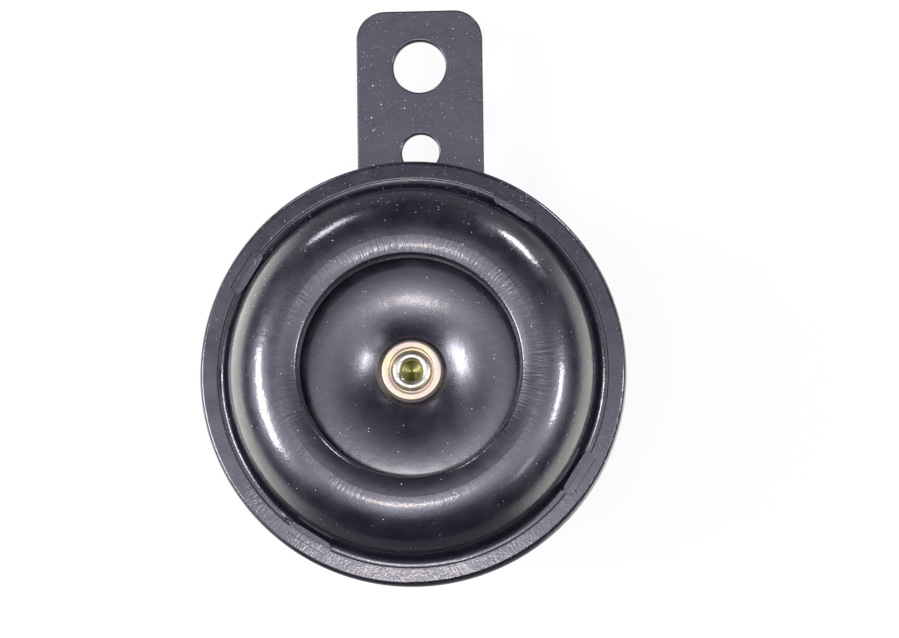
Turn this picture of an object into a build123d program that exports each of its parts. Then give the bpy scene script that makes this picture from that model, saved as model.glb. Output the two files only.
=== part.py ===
from build123d import *
import os
from math import acos, asin, atan2, cos, degrees, hypot, radians, sin, sqrt, tan

# 12 V disc horn on a strap bracket, in millimetres.
# X is to the right seen from the front, -Y is the way the sound leaves, +Z is up.
# The origin is the centre of the upper strap hole, on the strap's rear (mounting) face.
# Levels are distances in front of that face; radii are measured from the horn's own axis.

# --- Strap bracket -----------------------------------------------------------
strap_width = 20.0
strap_sheet = 1.5
strap_corner = 4.5
strap_edge = 0.25           # rolled-over punch edge on the front face
upper_hole_r = 4.2          # clears an M8 bolt
lower_hole_r = 3.0
end_to_upper_hole = 9.0
hole_spacing = 13.8
hole_to_axis = 52.1

# --- Housing, drawn from one blank and crimped over the front ----------------
housing_sheet = 0.8
chamber_depth = 13.5        # rear face to the shoulder
shoulder_width = 5.3        # chamber wall to bowl wall
flange_width = 4.7          # bowl wall to the rim
lip_width = 2.8             # rim to the cut edge of the crimped lip
draft = 0.4                 # each drawn wall is this much narrower at its rear
rear_corner = 2.5
inside_corner = 1.0
shoulder_corner = 1.2
flange_corner = 1.2
rim_rear_corner = 1.0
rim_front_corner = 0.6
lip_edge = 0.25             # round on the crimped lip's cut edge

# --- Stack clamped in the crimp ----------------------------------------------
stack_clearance = 0.2
gasket_sheet = 0.5
gasket_width = 2.5
diaphragm_sheet = 0.3
cover_sheet = 0.7

# --- Front cover: a ring-shaped crown with an open mouth ---------------------
cover_flat = 1.4            # lip's cut edge to the foot of the crown
crown_wall = 0.6            # middle of the round in front of the flange
crown_radius = 8.4
slope_tighter = 0.4         # the inner side is this much tighter than the outer
slope_angle = 22.0
mouth_inset = 3.3           # top of the crown to the mouth's edge
mouth_depth = 1.9           # top of the crown to the end of the turned-in edge
mouth_bend = 0.75
cover_base_fillet = 1.3     # hollow between the round and the lip's cut edge

# --- Keys on the cover's flange that stop it turning in the lip --------------
key_count = 4
key_angle = 57.6
key_length = 7.2
key_width = 1.85
key_clearance = 0.08
key_below_lip = 0.12

# --- Tone disc ---------------------------------------------------------------
disc_sheet = 0.6
disc_overlap = 1.7          # the disc's edge behind the mouth
disc_gap = 2.7              # end of the mouth's edge to the disc's highest ring
disc_fall_width = 4.7       # that ring to the disc's edge
disc_crown_radius = 16.0
seat_r = 5.2
seat_depth = 0.4

# --- Centre fasteners --------------------------------------------------------
rivet_r = 2.0
rivet_clearance = 0.05
rivet_head_wider = 1.2      # head beyond the shank
rivet_head = 1.0
rivet_flare_wider = 1.15    # flare beyond the shank
rivet_flare_wall = 0.5
drill_point = 118.0
seat_clearance = 0.6
cup_washer_sheet = 1.2
cup_clearance = 0.25
cup_depth = 0.7
cup_edge = 0.35
rivet_flare_sunk = 0.1      # top of the flare below the washer's face
diaphragm_washer_r = 9.0
diaphragm_washer = 1.2
spacer_wall = 2.45

# --- Magnet ------------------------------------------------------------------
core_r = 6.0
core_length = 8.7
stud_r = 3.0
stud_hole_clearance = 0.2
air_gap = 0.8
armature_inset = 0.5        # armature narrower than the core
pusher_r = 9.0
pusher_sheet = 1.2
pusher_gap = 0.4            # collar to moving leaf with the current off
bobbin_wall = 1.0
bobbin_clearance = 0.1
bobbin_flange = 1.0
bobbin_room = 0.3           # to the washers inside the terminals
winding_inset = 0.6         # winding below the bobbin's flanges
stud_chamfer = 0.6

# --- Contact breaker ---------------------------------------------------------
plate_sheet = 1.2
plate_clearance = 0.1
plate_hole_clearance = 2.0  # round the armature
screw_plate_clearance = 0.6
plate_rivet_count = 3
plate_rivet_r = 0.9
plate_rivet_head_r = 1.3
plate_rivet_head = 0.6
plate_rivet_angle = 30.0
breaker_inset = 2.7         # chamber wall to the middle of the clamped stack
breaker_room = 1.7          # stack to the diaphragm, for its swing
breaker_length = 7.0
breaker_width = 9.0
breaker_rivet_spacing = 4.8
breaker_rivet_r = 1.0
breaker_rivet_head_r = 1.8
breaker_rivet_head = 0.7
sleeve_wall = 0.7
sleeve_clearance = 0.05
lower_insulator_sheet = 1.0
upper_insulator_sheet = 0.8
clamp_sheet = 1.0
leaf_sheet = 0.4
leaf_width = 6.0
arm_sheet = 0.8
arm_width = 6.0
ear_length = 5.0
arm_gap = 1.0               # arm's end to the armature's collar
leaf_overlap = 1.8          # leaf's end under that collar
point_r = 2.0
point_sheet = 0.7
point_inset = 0.5           # from the arm's end

# --- Adjusting screw ---------------------------------------------------------
screw_r = 2.0
screw_room = 0.4            # its collar to the bobbin
screw_beside = 0.6          # thread to the clamped stack
screw_head_r = 3.4
screw_head = 2.4
screw_slot = 0.9
screw_slot_depth = 1.2
screw_thread_clearance = 0.05
collar_wall = 0.7
collar_height = 2.2
lock_nut_flats = 7.0
lock_nut_height = 2.2
screw_stand_off = 1.0       # thread bare between nut and head

# --- Terminals ---------------------------------------------------------------
terminal_spacing = 10.0
terminal_room = 2.0         # strap's end to the insulator
terminal_sheet = 0.8
terminal_width = 6.3
terminal_above = 2.6        # rivet to the upper end
terminal_reach = 12.3       # rivet to the tip of the blade
terminal_tip_chamfer = 1.0
terminal_hole_r = 0.85
terminal_hole_from_tip = 4.0
insulator_width = 7.0
insulator_sheet = 1.2
insulator_boss_wall = 0.8
insulator_boss_clearance = 0.1
inner_washer_r = 3.0
inner_washer_sheet = 1.0
inner_washer_room = 0.3     # to the housing's rounded corner
terminal_rivet_r = 1.3
terminal_rivet_head_r = 2.3
terminal_rivet_head = 0.8

# --- Leads inside, enamelled wire ---------------------------------------------
lead_r = 0.35
lead_bend = 1.2
lead_wrap = 25.0            # degrees that a coil lead lies along the winding
lead_hole_r = 0.7
end_lead_hole_inset = 1.7   # from the chamber's wall
end_lead_hole_angle = 210.3
arm_lead_hole_inset = 3.0
arm_lead_hole_angle = 223.4
lead_past_rivet = 0.8
arm_lead_first_x = 1.5
arm_lead_second_x = -7.5
tab_width = 2.4
tab_length = 2.8
leaf_tab_inset = 0.6        # from the outer end of the stack
arm_tab_inset = 4.1
tab_joint = 1.1             # lead's end to the root of its tab

# --- Fasteners on the stud, M6 -----------------------------------------------
plain_washer_r = 6.0
plain_washer_sheet = 1.6
spring_washer_r = 5.4
spring_washer_sheet = 1.6
spring_washer_gap = 1.0
nut_flats = 10.0
nut_height = 5.0
nut_corner_angle = 30.0
stud_beyond_nut = 1.5
thread_clearance = 0.05

# --- Radii and places worked out from the inside out --------------------------
terminal_drop = strap_width / 2 + terminal_room + insulator_width / 2
terminal_circle_r = hypot(terminal_drop, terminal_spacing / 2)
floor_r = terminal_circle_r + inner_washer_r + inner_washer_room
chamber_r = floor_r + rear_corner + draft
bowl_r = chamber_r + shoulder_width
rim_r = bowl_r + flange_width
lip_r = rim_r - lip_width
stack_r = rim_r - housing_sheet - stack_clearance
crown_r = lip_r - cover_flat - crown_radius
crown_height = crown_radius + crown_wall
foot_angle = degrees(asin(crown_wall / crown_radius))
slope_radius = crown_radius - slope_tighter
mouth_r = crown_r - mouth_inset
disc_r = mouth_r + disc_overlap
disc_crown_r = disc_r - disc_fall_width
cup_washer_r = seat_r - seat_clearance
rivet_head_r = rivet_r + rivet_head_wider
rivet_flare_r = rivet_r + rivet_flare_wider
rivet_mouth_r = rivet_r - rivet_flare_wall
cup_r = rivet_flare_r + cup_clearance
spacer_r = rivet_r + rivet_clearance + spacer_wall
armature_r = core_r - armature_inset
bobbin_r = terminal_circle_r - inner_washer_r - bobbin_room
winding_r = bobbin_r - winding_inset
plate_hole_r = armature_r + plate_hole_clearance
plate_rivet_circle_r = (chamber_r + inside_corner + bowl_r - draft - shoulder_corner) / 2
breaker_x = breaker_inset - chamber_r + housing_sheet
arm_end_x = -pusher_r - arm_gap
leaf_end_x = -pusher_r + leaf_overlap
point_x = arm_end_x - point_inset - point_r
screw_z = breaker_width / 2 + screw_beside + screw_r
screw_x = -sqrt((bobbin_r + screw_room + collar_wall + screw_r) ** 2 - screw_z**2)
insulator_boss_r = terminal_rivet_r + insulator_boss_wall
leaf_tab_x = breaker_x - breaker_length / 2 + leaf_tab_inset + tab_width / 2
arm_tab_x = breaker_x - breaker_length / 2 + arm_tab_inset + tab_width / 2
lead_wrap_r = winding_r + lead_r
end_lead_hole_r = chamber_r - end_lead_hole_inset
arm_lead_hole_r = chamber_r - arm_lead_hole_inset
lead_drop = terminal_drop + terminal_rivet_head_r + lead_past_rivet
tab_joint_y = -breaker_width / 2 - tab_joint
left_terminal_angle = degrees(atan2(-terminal_drop, -terminal_spacing / 2))
start_lead_angle = left_terminal_angle - degrees(acos(lead_wrap_r / terminal_circle_r))
end_lead_angle = end_lead_hole_angle + degrees(acos(lead_wrap_r / end_lead_hole_r))

# --- Levels, from the rear to the front --------------------------------------
housing_rear = strap_sheet
housing_floor = housing_rear + housing_sheet
shoulder = housing_rear + chamber_depth
plate_rear = shoulder + housing_sheet
plate_front = plate_rear + plate_sheet
leaf_rear = plate_front + lower_insulator_sheet
leaf_front = leaf_rear + leaf_sheet
arm_rear = leaf_front + 2 * point_sheet
arm_front = arm_rear + arm_sheet
clamp_rear = arm_front + upper_insulator_sheet
clamp_front = clamp_rear + clamp_sheet
diaphragm_rear = clamp_front + breaker_rivet_head + breaker_room
diaphragm_front = diaphragm_rear + diaphragm_sheet
flange_front = diaphragm_rear - gasket_sheet
flange_rear = flange_front - housing_sheet
cover_rear = diaphragm_front + gasket_sheet
cover_front = cover_rear + cover_sheet
lip_front = cover_front + housing_sheet
mouth_end = cover_front + crown_height - mouth_depth
disc_top = mouth_end - disc_gap
disc_centre = disc_top - disc_crown_radius
disc_dish = disc_centre + sqrt(disc_crown_radius**2 - (disc_crown_r - seat_r) ** 2)
disc_edge = disc_centre + sqrt(disc_crown_radius**2 - (disc_r - disc_crown_r) ** 2)
seat_front = disc_dish - seat_depth
seat_rear = seat_front - disc_sheet
core_front = housing_floor + core_length
cup_washer_front = seat_front + cup_washer_sheet
flare_rear = cup_washer_front - cup_depth
flare_front = cup_washer_front - rivet_flare_sunk
flare_round = flare_front - flare_rear
armature_rear = core_front + air_gap
armature_front = diaphragm_rear - diaphragm_washer
nut_rear = -(plain_washer_sheet + spring_washer_sheet + nut_height)
stud_end = nut_rear - stud_beyond_nut
stud_hole_r = stud_r + stud_hole_clearance
bobbin_bore_r = core_r + bobbin_clearance
winding_bore_r = bobbin_bore_r + bobbin_wall
winding_rear = housing_floor + bobbin_flange
winding_front = plate_rear - bobbin_flange
plate_r = bowl_r - draft - shoulder_corner - plate_clearance
sleeve_r = breaker_rivet_r + sleeve_wall
insulator_rear = housing_rear - insulator_sheet
terminal_rear = insulator_rear - terminal_sheet
inner_washer_front = housing_floor + inner_washer_sheet
rivet_lead = inner_washer_front + terminal_rivet_head + lead_r
winding_lead = winding_front - 2 * lead_r
leaf_lead = leaf_front + lead_r
arm_lead_level = arm_front + lead_r
lock_nut_rear = housing_rear - lock_nut_height
nut_corner_r = nut_flats / sqrt(3)
nut_corner_rise = (nut_corner_r - nut_flats / 2) * tan(radians(nut_corner_angle))
screw_head_front = lock_nut_rear - screw_stand_off

horn_centre = (0, 0, -hole_to_axis)
horn_axis = Axis(horn_centre, (0, -1, 0))
# Half section of the horn: x is the radius, y the level.
section = Plane(origin=horn_centre, x_dir=(1, 0, 0), z_dir=(0, 0, -1))


# Plane across the horn's axis, seen from the front: x to the right, y up.
def across(level):
    return Plane(origin=(0, -level, -hole_to_axis), x_dir=(1, 0, 0), z_dir=(0, -1, 0))


# Point at a radius and an angle about the horn's axis, seen from the front.
def around(radius, angle, level):
    x = radius * cos(radians(angle))
    z = radius * sin(radians(angle))
    return (x, -level, z - hole_to_axis)


os.makedirs("parts", exist_ok=True)

# Housing: stepped pot, flange and crimped lip in one drawn sheet.
with BuildPart() as housing:
    with BuildSketch(section):
        with BuildLine():
            FilletPolyline(
                (stud_hole_r, housing_rear),
                (chamber_r - draft, housing_rear),
                (chamber_r, shoulder),
                (bowl_r - draft, shoulder),
                (bowl_r, flange_rear),
                (rim_r, flange_rear),
                (rim_r, lip_front),
                (lip_r, lip_front),
                radius=[
                    rear_corner,
                    inside_corner,
                    shoulder_corner,
                    flange_corner,
                    rim_rear_corner,
                    rim_front_corner,
                ],
            )
            offset(amount=housing_sheet, side=Side.LEFT)
        make_face()
        fillet(vertices().sort_by_distance((lip_r, lip_front))[0], lip_edge)
    revolve(axis=horn_axis)
    # Drawn collar that carries the adjusting screw's thread.
    with BuildSketch(across(housing_floor)):
        with Locations((screw_x, screw_z)):
            Circle(screw_r + collar_wall)
    extrude(amount=collar_height)
    with BuildSketch(across(housing_rear)):
        with Locations((screw_x, screw_z)):
            Circle(screw_r + screw_thread_clearance)
    extrude(amount=housing_sheet + collar_height, mode=Mode.SUBTRACT)
    # Holes for the terminals' insulating bosses.
    with BuildSketch(across(housing_rear)):
        with Locations((0, -terminal_drop)):
            with GridLocations(terminal_spacing, 0, 2, 1):
                Circle(insulator_boss_r + insulator_boss_clearance)
    extrude(amount=housing_sheet, mode=Mode.SUBTRACT)
    # Holes for the contact plate's rivets, in the shoulder.
    with BuildSketch(across(shoulder)):
        with PolarLocations(plate_rivet_circle_r, plate_rivet_count, start_angle=plate_rivet_angle):
            Circle(plate_rivet_r)
    extrude(amount=housing_sheet, mode=Mode.SUBTRACT)
    # Notches of the lip, round the cover's keys.
    with BuildSketch(across(cover_front)):
        with PolarLocations(lip_r, key_count, start_angle=key_angle):
            SlotOverall(key_length + 2 * key_clearance, key_width + 2 * key_clearance, rotation=90)
    extrude(amount=housing_sheet, mode=Mode.SUBTRACT)
housing.part.label = "housing"
export_step(housing.part, "parts/housing.step")

# Rear gasket, between the housing's flange and the diaphragm.
with BuildPart() as rear_gasket:
    with BuildSketch(across(flange_front)):
        Circle(stack_r)
        Circle(stack_r - gasket_width, mode=Mode.SUBTRACT)
    extrude(amount=gasket_sheet)
rear_gasket.part.label = "rear_gasket"
export_step(rear_gasket.part, "parts/rear_gasket.step")

# Diaphragm: spring steel, clamped at its edge and riveted to the armature.
with BuildPart() as diaphragm:
    with BuildSketch(across(diaphragm_rear)):
        Circle(stack_r)
        Circle(rivet_r + rivet_clearance, mode=Mode.SUBTRACT)
    extrude(amount=diaphragm_sheet)
diaphragm.part.label = "diaphragm"
export_step(diaphragm.part, "parts/diaphragm.step")

# Front gasket, between the diaphragm and the cover.
with BuildPart() as front_gasket:
    with BuildSketch(across(diaphragm_front)):
        Circle(stack_r)
        Circle(stack_r - gasket_width, mode=Mode.SUBTRACT)
    extrude(amount=gasket_sheet)
front_gasket.part.label = "front_gasket"
export_step(front_gasket.part, "parts/front_gasket.step")

# Front cover: round-topped ring drawn from sheet, with its mouth turned in.
with BuildPart() as front_cover:
    with BuildSketch(section):
        with BuildLine() as cover_line:
            crown = CenterArc(
                (crown_r, cover_front + crown_wall), crown_radius, -foot_angle, 90 + foot_angle
            )
            slope = CenterArc(
                (crown_r, cover_front + crown_height - slope_radius), slope_radius, 90, slope_angle
            )
            Line(slope @ 1, (mouth_r, mouth_end))
            Line(crown @ 0, (stack_r, cover_front))
            fillet(cover_line.vertices().sort_by_distance(slope @ 1)[0], mouth_bend)
            fillet(cover_line.vertices().sort_by_distance(crown @ 0)[0], cover_base_fillet)
            offset(amount=cover_sheet, side=Side.LEFT)
        make_face()
    revolve(axis=horn_axis)
    with BuildSketch(across(cover_front)):
        with PolarLocations(lip_r, key_count, start_angle=key_angle):
            SlotOverall(key_length, key_width, rotation=90)
    extrude(amount=housing_sheet - key_below_lip)
front_cover.part.label = "front_cover"
export_step(front_cover.part, "parts/front_cover.step")

# Tone disc: free at its edge, dished to a sunk seat in the middle.
with BuildPart() as tone_disc:
    with BuildSketch(section):
        with BuildLine():
            dish = RadiusArc((seat_r, disc_dish), (disc_r, disc_edge), disc_crown_radius)
            Polyline(
                dish @ 0,
                (seat_r, seat_front),
                (rivet_r + rivet_clearance, seat_front),
            )
            offset(amount=disc_sheet, side=Side.RIGHT)
        make_face()
    revolve(axis=horn_axis)
tone_disc.part.label = "tone_disc"
export_step(tone_disc.part, "parts/tone_disc.step")

# Washer under the flared end of the rivet, with a cup that the flare is set into.
with BuildPart() as cup_washer:
    with BuildSketch(across(seat_front)):
        Circle(cup_washer_r)
    extrude(amount=cup_washer_sheet)
    with Locations(across(cup_washer_front)):
        CounterBoreHole(rivet_r + rivet_clearance, cup_r, cup_depth, depth=cup_washer_sheet)
    fillet(cup_washer.edges().filter_by(GeomType.CIRCLE).sort_by(Axis.Y)[:2], cup_edge)
cup_washer.part.label = "cup_washer"
export_step(cup_washer.part, "parts/cup_washer.step")

# Rivet through disc, spacer, diaphragm and armature; its front end is flared over.
with BuildPart() as centre_rivet:
    with BuildSketch(section):
        with BuildLine():
            Polyline(
                (rivet_mouth_r, flare_front - flare_round),
                (0, flare_front - flare_round - rivet_mouth_r / tan(radians(drill_point / 2))),
                (0, armature_rear),
                (rivet_head_r, armature_rear),
                (rivet_head_r, armature_rear + rivet_head),
                (rivet_r, armature_rear + rivet_head),
                (rivet_r, flare_rear),
                (rivet_flare_r, flare_rear),
            )
            ThreePointArc(
                (rivet_flare_r, flare_rear),
                ((rivet_flare_r + rivet_mouth_r) / 2, flare_front),
                (rivet_mouth_r, flare_front - flare_round),
            )
        make_face()
    revolve(axis=horn_axis)
centre_rivet.part.label = "centre_rivet"
export_step(centre_rivet.part, "parts/centre_rivet.step")

# Bush that holds the tone disc off the diaphragm.
with BuildPart() as spacer_bush:
    with BuildSketch(across(diaphragm_front + diaphragm_washer)):
        Circle(spacer_r)
        Circle(rivet_r + rivet_clearance, mode=Mode.SUBTRACT)
    extrude(amount=seat_rear - diaphragm_front - diaphragm_washer)
spacer_bush.part.label = "spacer_bush"
export_step(spacer_bush.part, "parts/spacer_bush.step")

# Stiffening washers on both sides of the diaphragm.
with BuildPart() as front_diaphragm_washer:
    with BuildSketch(across(diaphragm_front)):
        Circle(diaphragm_washer_r)
        Circle(rivet_r + rivet_clearance, mode=Mode.SUBTRACT)
    extrude(amount=diaphragm_washer)
front_diaphragm_washer.part.label = "front_diaphragm_washer"
export_step(front_diaphragm_washer.part, "parts/front_diaphragm_washer.step")

with BuildPart() as rear_diaphragm_washer:
    with BuildSketch(across(armature_front)):
        Circle(diaphragm_washer_r)
        Circle(rivet_r + rivet_clearance, mode=Mode.SUBTRACT)
    extrude(amount=diaphragm_washer)
rear_diaphragm_washer.part.label = "rear_diaphragm_washer"
export_step(rear_diaphragm_washer.part, "parts/rear_diaphragm_washer.step")

# Armature: soft iron, with a collar that pushes the moving leaf off its contact.
with BuildPart() as armature:
    with BuildSketch(across(armature_rear)):
        Circle(armature_r)
    extrude(amount=armature_front - armature_rear)
    with BuildSketch(across(leaf_front + pusher_gap)):
        Circle(pusher_r)
    extrude(amount=pusher_sheet)
    with Locations(across(armature_rear).reverse()):
        CounterBoreHole(
            rivet_r + rivet_clearance,
            rivet_head_r + rivet_clearance,
            rivet_head,
            depth=armature_front - armature_rear,
        )
armature.part.label = "armature"
export_step(armature.part, "parts/armature.step")

# Pole core with the mounting stud turned on its rear end.
with BuildPart() as pole_core:
    with BuildSketch(across(housing_floor)):
        Circle(core_r)
    extrude(amount=core_length)
    with BuildSketch(across(stud_end)):
        Circle(stud_r)
    extrude(amount=housing_floor - stud_end)
    chamfer(pole_core.edges().filter_by(GeomType.CIRCLE).sort_by(Axis.Y)[-1], stud_chamfer)
pole_core.part.label = "pole_core"
export_step(pole_core.part, "parts/pole_core.step")

# Coil bobbin, from the housing's floor to the contact plate.
with BuildPart() as coil_bobbin:
    with BuildSketch(section):
        with BuildLine():
            Polyline(
                (bobbin_bore_r, housing_floor),
                (bobbin_r, housing_floor),
                (bobbin_r, winding_rear),
                (winding_bore_r, winding_rear),
                (winding_bore_r, winding_front),
                (bobbin_r, winding_front),
                (bobbin_r, plate_rear),
                (bobbin_bore_r, plate_rear),
                close=True,
            )
        make_face()
    revolve(axis=horn_axis)
coil_bobbin.part.label = "coil_bobbin"
export_step(coil_bobbin.part, "parts/coil_bobbin.step")

# Coil winding: enamelled copper wire, layer on layer.
with BuildPart() as coil_winding:
    with BuildSketch(across(winding_rear)):
        Circle(winding_r)
        Circle(winding_bore_r, mode=Mode.SUBTRACT)
    extrude(amount=winding_front - winding_rear)
coil_winding.part.label = "coil_winding"
export_step(coil_winding.part, "parts/coil_winding.step")

# Contact plate: holds the coil down and carries the breaker.
with BuildPart() as contact_plate:
    with BuildSketch(across(plate_rear)):
        Circle(plate_r)
        Circle(plate_hole_r, mode=Mode.SUBTRACT)
        with PolarLocations(plate_rivet_circle_r, plate_rivet_count, start_angle=plate_rivet_angle):
            Circle(plate_rivet_r, mode=Mode.SUBTRACT)
        with Locations((breaker_x, 0)):
            with GridLocations(0, breaker_rivet_spacing, 1, 2):
                Circle(breaker_rivet_r, mode=Mode.SUBTRACT)
        with Locations((screw_x, screw_z)):
            Circle(screw_r + screw_plate_clearance, mode=Mode.SUBTRACT)
        with PolarLocations(end_lead_hole_r, 1, start_angle=end_lead_hole_angle):
            Circle(lead_hole_r, mode=Mode.SUBTRACT)
        with PolarLocations(arm_lead_hole_r, 1, start_angle=arm_lead_hole_angle):
            Circle(lead_hole_r, mode=Mode.SUBTRACT)
    extrude(amount=plate_sheet)
contact_plate.part.label = "contact_plate"
export_step(contact_plate.part, "parts/contact_plate.step")

# Rivets that hold the contact plate on the housing's shoulder.
with BuildPart() as plate_rivets:
    with BuildSketch(across(shoulder)):
        with PolarLocations(plate_rivet_circle_r, plate_rivet_count, start_angle=plate_rivet_angle):
            Circle(plate_rivet_r)
    extrude(amount=plate_front - shoulder)
    for head_level, head in ((plate_front, plate_rivet_head), (shoulder, -plate_rivet_head)):
        with BuildSketch(across(head_level)):
            with PolarLocations(plate_rivet_circle_r, plate_rivet_count, start_angle=plate_rivet_angle):
                Circle(plate_rivet_head_r)
        extrude(amount=head)
plate_rivets.part.label = "plate_rivets"
export_step(plate_rivets.part, "parts/plate_rivets.step")

# Insulator between the contact plate and the moving leaf.
with BuildPart() as lower_insulator:
    with BuildSketch(across(plate_front)):
        with Locations((breaker_x, 0)):
            Rectangle(breaker_length, breaker_width)
            with GridLocations(0, breaker_rivet_spacing, 1, 2):
                Circle(breaker_rivet_r, mode=Mode.SUBTRACT)
    extrude(amount=lower_insulator_sheet)
lower_insulator.part.label = "lower_insulator"
export_step(lower_insulator.part, "parts/lower_insulator.step")

# Moving leaf: reaches under the armature's collar, narrower past the clamped stack,
# with a tab below it for the coil's end.
with BuildPart() as moving_leaf:
    with BuildSketch(across(leaf_rear)):
        with Locations((breaker_x, 0)):
            Rectangle(breaker_length, breaker_width)
        with Locations((breaker_x, 0)):
            Rectangle(leaf_end_x - breaker_x, leaf_width, align=(Align.MIN, Align.CENTER))
        with Locations((leaf_tab_x, 0)):
            Rectangle(tab_width, breaker_width / 2 + tab_length, align=(Align.CENTER, Align.MAX))
        with Locations((breaker_x, 0)):
            with GridLocations(0, breaker_rivet_spacing, 1, 2):
                Circle(sleeve_r + sleeve_clearance, mode=Mode.SUBTRACT)
    extrude(amount=leaf_sheet)
    fillet(moving_leaf.edges().filter_by(Axis.Y).sort_by(Axis.X)[-2:], leaf_width / 4)
moving_leaf.part.label = "moving_leaf"
export_step(moving_leaf.part, "parts/moving_leaf.step")

# Insulator between the moving leaf and the fixed arm, as thick as both contact points.
with BuildPart() as middle_insulator:
    with BuildSketch(across(leaf_front)):
        with Locations((breaker_x, 0)):
            Rectangle(breaker_length, breaker_width)
            with GridLocations(0, breaker_rivet_spacing, 1, 2):
                Circle(sleeve_r + sleeve_clearance, mode=Mode.SUBTRACT)
    extrude(amount=arm_rear - leaf_front)
middle_insulator.part.label = "middle_insulator"
export_step(middle_insulator.part, "parts/middle_insulator.step")

# Fixed arm, with an ear above that the adjusting screw presses on and a tab below.
with BuildPart() as fixed_arm:
    with BuildSketch(across(arm_rear)):
        with Locations((breaker_x, 0)):
            Rectangle(breaker_length, breaker_width)
        with Locations((breaker_x, 0)):
            Rectangle(arm_end_x - breaker_x, arm_width, align=(Align.MIN, Align.CENTER))
        with Locations((screw_x, 0)):
            Rectangle(ear_length, screw_z + screw_r, align=(Align.CENTER, Align.MIN))
        with Locations((arm_tab_x, 0)):
            Rectangle(tab_width, breaker_width / 2 + tab_length, align=(Align.CENTER, Align.MAX))
        with Locations((breaker_x, 0)):
            with GridLocations(0, breaker_rivet_spacing, 1, 2):
                Circle(sleeve_r + sleeve_clearance, mode=Mode.SUBTRACT)
    extrude(amount=arm_sheet)
    fillet(fixed_arm.edges().filter_by(Axis.Y).sort_by(Axis.Z)[-2:], ear_length / 4)
fixed_arm.part.label = "fixed_arm"
export_step(fixed_arm.part, "parts/fixed_arm.step")

# Insulator between the fixed arm and the clamp.
with BuildPart() as upper_insulator:
    with BuildSketch(across(arm_front)):
        with Locations((breaker_x, 0)):
            Rectangle(breaker_length, breaker_width)
            with GridLocations(0, breaker_rivet_spacing, 1, 2):
                Circle(breaker_rivet_r, mode=Mode.SUBTRACT)
    extrude(amount=upper_insulator_sheet)
upper_insulator.part.label = "upper_insulator"
export_step(upper_insulator.part, "parts/upper_insulator.step")

# Steel clamp on top of the stack.
with BuildPart() as breaker_clamp:
    with BuildSketch(across(clamp_rear)):
        with Locations((breaker_x, 0)):
            Rectangle(breaker_length, breaker_width)
            with GridLocations(0, breaker_rivet_spacing, 1, 2):
                Circle(breaker_rivet_r, mode=Mode.SUBTRACT)
    extrude(amount=clamp_sheet)
breaker_clamp.part.label = "breaker_clamp"
export_step(breaker_clamp.part, "parts/breaker_clamp.step")

# Insulating sleeves that keep the rivets off the leaf and the arm.
with BuildPart() as breaker_sleeves:
    with BuildSketch(across(leaf_rear)):
        with Locations((breaker_x, 0)):
            with GridLocations(0, breaker_rivet_spacing, 1, 2):
                Circle(sleeve_r)
                Circle(breaker_rivet_r, mode=Mode.SUBTRACT)
    extrude(amount=arm_front - leaf_rear)
breaker_sleeves.part.label = "breaker_sleeves"
export_step(breaker_sleeves.part, "parts/breaker_sleeves.step")

# Rivets through the stack and the contact plate.
with BuildPart() as breaker_rivets:
    with BuildSketch(across(plate_rear)):
        with Locations((breaker_x, 0)):
            with GridLocations(0, breaker_rivet_spacing, 1, 2):
                Circle(breaker_rivet_r)
    extrude(amount=clamp_front - plate_rear)
    for head_level, head in ((clamp_front, breaker_rivet_head), (plate_rear, -breaker_rivet_head)):
        with BuildSketch(across(head_level)):
            with Locations((breaker_x, 0)):
                with GridLocations(0, breaker_rivet_spacing, 1, 2):
                    Circle(breaker_rivet_head_r)
        extrude(amount=head)
breaker_rivets.part.label = "breaker_rivets"
export_step(breaker_rivets.part, "parts/breaker_rivets.step")

# Contact points, closed on each other while the horn is silent.
with BuildPart() as moving_contact:
    with BuildSketch(across(leaf_front)):
        with Locations((point_x, 0)):
            Circle(point_r)
    extrude(amount=point_sheet)
moving_contact.part.label = "moving_contact"
export_step(moving_contact.part, "parts/moving_contact.step")

with BuildPart() as fixed_contact:
    with BuildSketch(across(leaf_front + point_sheet)):
        with Locations((point_x, 0)):
            Circle(point_r)
    extrude(amount=point_sheet)
fixed_contact.part.label = "fixed_contact"
export_step(fixed_contact.part, "parts/fixed_contact.step")

# Adjusting screw: slotted head at the rear, tip against the fixed arm's ear.
with BuildPart() as adjusting_screw:
    with BuildSketch(across(screw_head_front)):
        with Locations((screw_x, screw_z)):
            Circle(screw_r)
    extrude(amount=arm_rear - screw_head_front)
    with BuildSketch(across(screw_head_front - screw_head)):
        with Locations((screw_x, screw_z)):
            Circle(screw_head_r)
    extrude(amount=screw_head)
    fillet(adjusting_screw.edges().filter_by(GeomType.CIRCLE).sort_by(Axis.Y)[-1], screw_head / 4)
    with BuildSketch(across(screw_head_front - screw_head)):
        with Locations((screw_x, screw_z)):
            Rectangle(2 * screw_head_r, screw_slot)
    extrude(amount=screw_slot_depth, mode=Mode.SUBTRACT)
adjusting_screw.part.label = "adjusting_screw"
export_step(adjusting_screw.part, "parts/adjusting_screw.step")

# Lock nut of the adjusting screw, on the housing's rear face.
with BuildPart() as lock_nut:
    with BuildSketch(across(lock_nut_rear)):
        with Locations((screw_x, screw_z)):
            RegularPolygon(lock_nut_flats / 2, 6, major_radius=False)
            Circle(screw_r + screw_thread_clearance, mode=Mode.SUBTRACT)
    extrude(amount=lock_nut_height)
lock_nut.part.label = "lock_nut"
export_step(lock_nut.part, "parts/lock_nut.step")

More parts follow.
